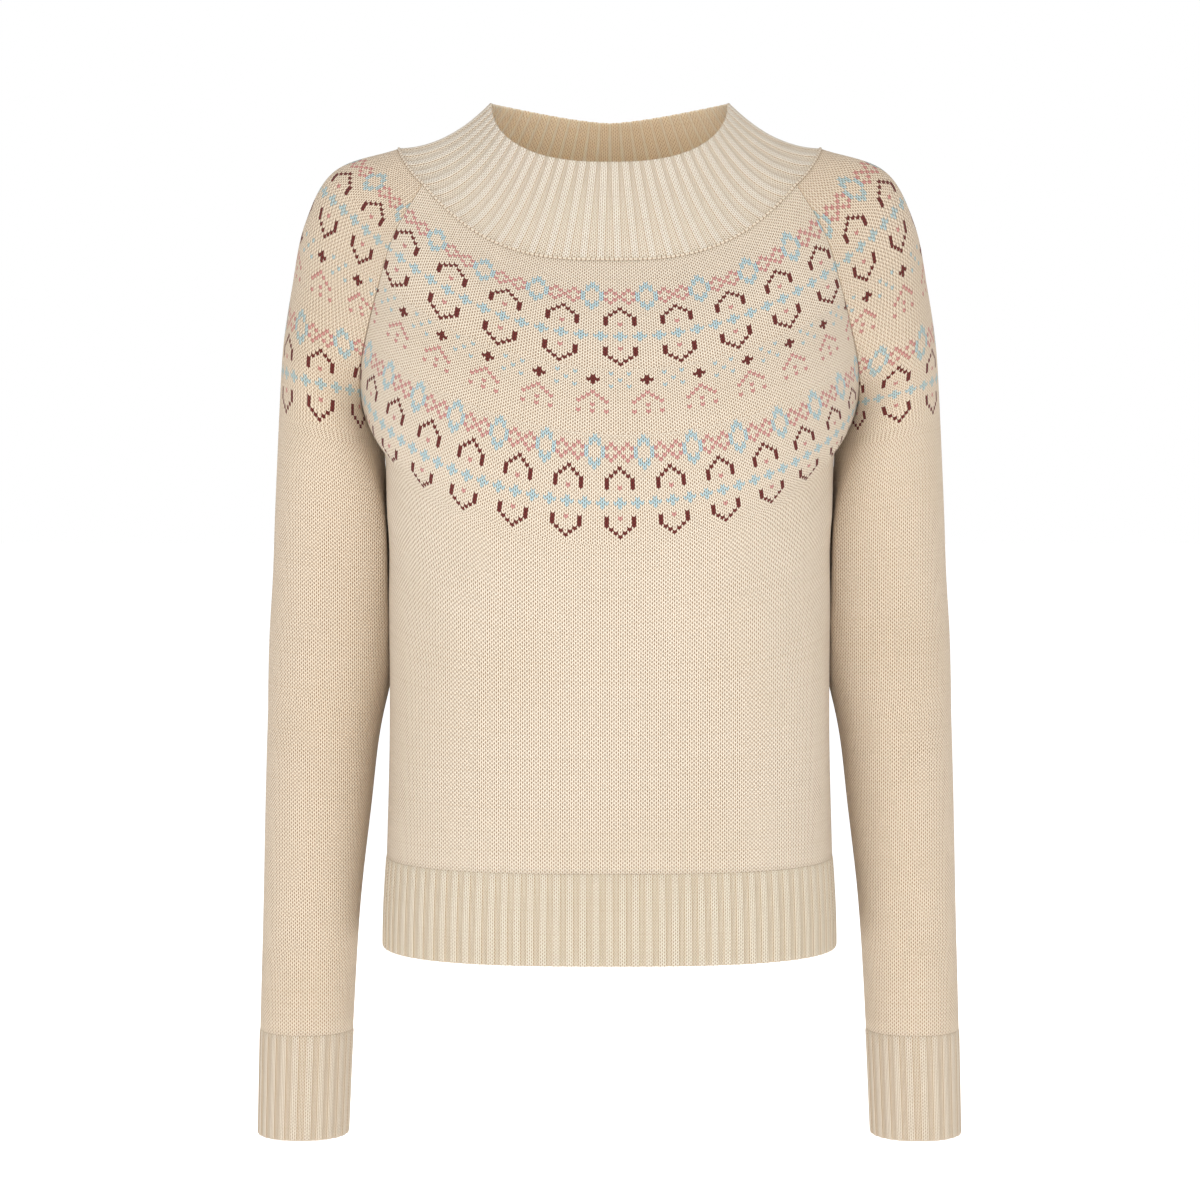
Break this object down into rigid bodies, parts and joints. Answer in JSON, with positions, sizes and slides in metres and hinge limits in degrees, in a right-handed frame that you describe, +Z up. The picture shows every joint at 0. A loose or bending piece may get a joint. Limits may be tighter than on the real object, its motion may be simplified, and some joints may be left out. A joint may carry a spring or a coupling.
{
  "type": "fair isle jumper",
  "caption": "Long-sleeved knitted wool jumper with a ribbed funnel neck, a round patterned yoke and ribbed hem and cuffs, held in its worn form.",
  "frame": {"origin": "base of the neck between the shoulders, where the wearer holds the garment up", "axes": "+Z up, -Y the way the front faces, +X towards the wearer's left"},
  "size_m": [0.5088, 0.2254, 0.7402],
  "materials": {
    "knit": "stocking-stitch wool in oatmeal, with a stranded yoke in maroon, pale blue and dusty pink",
    "rib": "ribbed wool in oatmeal"
  },
  "bodies": {
    "root": {"front": "knit", "back": "knit", "sleeve_left": "knit", "sleeve_right": "knit", "collar": "rib", "hem_front": "rib", "hem_back": "rib", "cuff_left": "rib", "cuff_right": "rib"}
  },
  "joints": []
}
